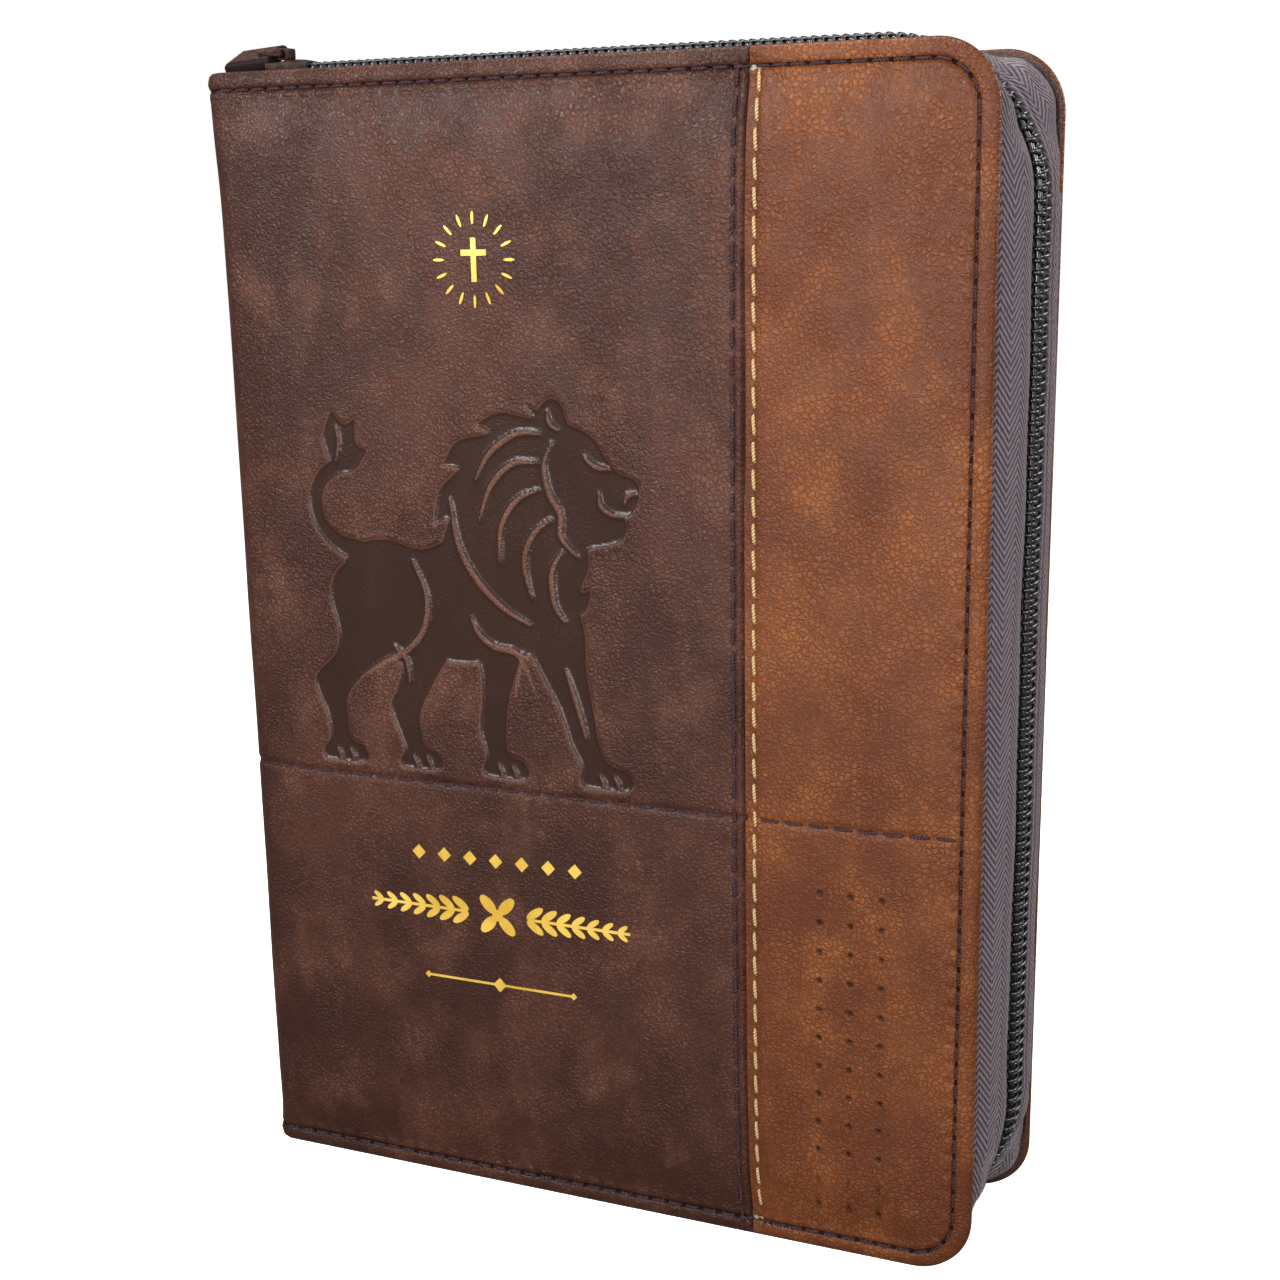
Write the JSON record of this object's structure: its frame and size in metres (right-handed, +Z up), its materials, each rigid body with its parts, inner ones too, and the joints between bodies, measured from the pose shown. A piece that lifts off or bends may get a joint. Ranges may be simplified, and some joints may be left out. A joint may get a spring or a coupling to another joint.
{
  "type": "zip-round bible",
  "caption": "Thick bible in a padded two-tone leather case with topstitching and gold ornament, closed round three sides by a coil zip, with covers and leaves that open.",
  "frame": {"origin": "on the surface the book stands on, under the middle of its bounding box", "axes": "+Z up the height, -X the spine, +X the fore edge, -Y the front cover, +Y the back cover"},
  "size_m": [0.171, 0.0451, 0.2306],
  "materials": {
    "dark_leather": "mottled dark brown, fine grain, satin",
    "tan_leather": "mottled tan, fine grain, satin",
    "foam": "soft padding, hidden",
    "board": "grey-brown bookbinder's board, hidden",
    "lining": "thin smooth brown lining",
    "endpaper": "plain dark brown endpaper",
    "dark_thread": "dark plum-brown polyester thread",
    "cream_thread": "cream polyester thread",
    "zip_tape": "grey-brown herringbone tape",
    "zip_coil": "black nylon coil, gloss",
    "zip_metal": "dark brown painted die-cast metal",
    "pull_leather": "dark brown leather, satin",
    "gold_foil": "stamped gold foil, bright satin",
    "spine_lining": "open-weave mull and paper",
    "paper": "thin cream bible paper, gilt edges",
    "band_cloth": "striped cloth band"
  },
  "bodies": {
    "spine": {"spine_leather": "dark_leather", "spine_board": "board", "spine_lining": "spine_lining", "spine_cross_thread": "dark_thread", "page_block": "paper", "head_band": "band_cloth", "tail_band": "band_cloth"},
    "front_cover": {"front_dark_leather": "dark_leather", "front_tan_leather": "tan_leather", "front_foam": "foam", "front_board": "board", "front_lining": "lining", "front_endpaper": "endpaper", "front_edge_thread": "dark_thread", "front_seam_thread_dark": "dark_thread", "front_seam_thread_cream": "cream_thread", "front_cross_thread": "dark_thread", "front_zip_tape": "zip_tape", "front_zip_coil": "zip_coil", "front_zip_stop": "zip_metal", "foil_cross": "gold_foil", "foil_laurel": "gold_foil"},
    "back_cover": {"back_dark_leather": "dark_leather", "back_tan_leather": "tan_leather", "back_foam": "foam", "back_board": "board", "back_lining": "lining", "back_endpaper": "endpaper", "back_edge_thread": "dark_thread", "back_seam_thread_dark": "dark_thread", "back_seam_thread_cream": "cream_thread", "back_cross_thread": "dark_thread", "back_zip_tape": "zip_tape", "back_zip_coil": "zip_coil", "back_zip_stop": "zip_metal"},
    "slider": {"slider_body": "zip_metal", "slider_bridge": "zip_metal"},
    "pull": {"pull_ring": "zip_metal", "pull_tab": "pull_leather"},
    "front_leaf_1_body": {"front_leaf_1": "paper"},
    "front_leaf_2_body": {"front_leaf_2": "paper"},
    "front_leaf_3_body": {"front_leaf_3": "paper"},
    "front_leaf_4_body": {"front_leaf_4": "paper"},
    "front_leaf_5_body": {"front_leaf_5": "paper"},
    "front_leaf_6_body": {"front_leaf_6": "paper"},
    "back_leaf_1_body": {"back_leaf_1": "paper"},
    "back_leaf_2_body": {"back_leaf_2": "paper"},
    "back_leaf_3_body": {"back_leaf_3": "paper"},
    "back_leaf_4_body": {"back_leaf_4": "paper"}
  },
  "joints": [
    {"name": "front_cover_hinge", "type": "hinge", "parent": "spine", "child": "front_cover", "pos_m": [-0.0742, -0.02025, 0], "axis": [0, 0, -1], "range_deg": [0, 180]},
    {"name": "back_cover_hinge", "type": "hinge", "parent": "spine", "child": "back_cover", "pos_m": [-0.0742, 0.02025, 0], "axis": [0, 0, 1], "range_deg": [0, 180]},
    {"name": "zip_slide", "type": "slide", "parent": "back_cover", "child": "slider", "axis": [1, 0, 0], "range_m": [0, 0.112]},
    {"name": "pull_pivot", "type": "hinge", "parent": "slider", "child": "pull", "pos_m": [-0.0721, 0, 0.22925], "axis": [0, 1, 0], "range_deg": [0, 165]},
    {"name": "front_leaf_1_turn", "type": "hinge", "parent": "spine", "child": "front_leaf_1_body", "pos_m": [-0.0696, -0.01735, 0], "axis": [0, 0, -1], "range_deg": [0, 85.1]},
    {"name": "front_leaf_2_turn", "type": "hinge", "parent": "spine", "child": "front_leaf_2_body", "pos_m": [-0.06895, -0.01645, 0], "axis": [0, 0, -1], "range_deg": [0, 74.3]},
    {"name": "front_leaf_3_turn", "type": "hinge", "parent": "spine", "child": "front_leaf_3_body", "pos_m": [-0.0683, -0.01555, 0], "axis": [0, 0, -1], "range_deg": [0, 61.7]},
    {"name": "front_leaf_4_turn", "type": "hinge", "parent": "spine", "child": "front_leaf_4_body", "pos_m": [-0.06765, -0.01465, 0], "axis": [0, 0, -1], "range_deg": [0, 47.3]},
    {"name": "front_leaf_5_turn", "type": "hinge", "parent": "spine", "child": "front_leaf_5_body", "pos_m": [-0.067, -0.01375, 0], "axis": [0, 0, -1], "range_deg": [0, 31.1]},
    {"name": "front_leaf_6_turn", "type": "hinge", "parent": "spine", "child": "front_leaf_6_body", "pos_m": [-0.06635, -0.01285, 0], "axis": [0, 0, -1], "range_deg": [0, 14.9]},
    {"name": "back_leaf_1_turn", "type": "hinge", "parent": "spine", "child": "back_leaf_1_body", "pos_m": [-0.0696, 0.01735, 0], "axis": [0, 0, 1], "range_deg": [0, 81.5]},
    {"name": "back_leaf_2_turn", "type": "hinge", "parent": "spine", "child": "back_leaf_2_body", "pos_m": [-0.06895, 0.01645, 0], "axis": [0, 0, 1], "range_deg": [0, 61.7]},
    {"name": "back_leaf_3_turn", "type": "hinge", "parent": "spine", "child": "back_leaf_3_body", "pos_m": [-0.0683, 0.01555, 0], "axis": [0, 0, 1], "range_deg": [0, 40.1]},
    {"name": "back_leaf_4_turn", "type": "hinge", "parent": "spine", "child": "back_leaf_4_body", "pos_m": [-0.06765, 0.01465, 0], "axis": [0, 0, 1], "range_deg": [0, 18.5]}
  ],
  "couplings": [
    {"joint": "front_leaf_1_turn", "follows": "front_cover_hinge", "ratio": 0.47},
    {"joint": "front_leaf_2_turn", "follows": "front_cover_hinge", "ratio": 0.41},
    {"joint": "front_leaf_3_turn", "follows": "front_cover_hinge", "ratio": 0.34},
    {"joint": "front_leaf_4_turn", "follows": "front_cover_hinge", "ratio": 0.26},
    {"joint": "front_leaf_5_turn", "follows": "front_cover_hinge", "ratio": 0.17},
    {"joint": "front_leaf_6_turn", "follows": "front_cover_hinge", "ratio": 0.08},
    {"joint": "back_leaf_1_turn", "follows": "back_cover_hinge", "ratio": 0.45},
    {"joint": "back_leaf_2_turn", "follows": "back_cover_hinge", "ratio": 0.34},
    {"joint": "back_leaf_3_turn", "follows": "back_cover_hinge", "ratio": 0.22},
    {"joint": "back_leaf_4_turn", "follows": "back_cover_hinge", "ratio": 0.1}
  ]
}
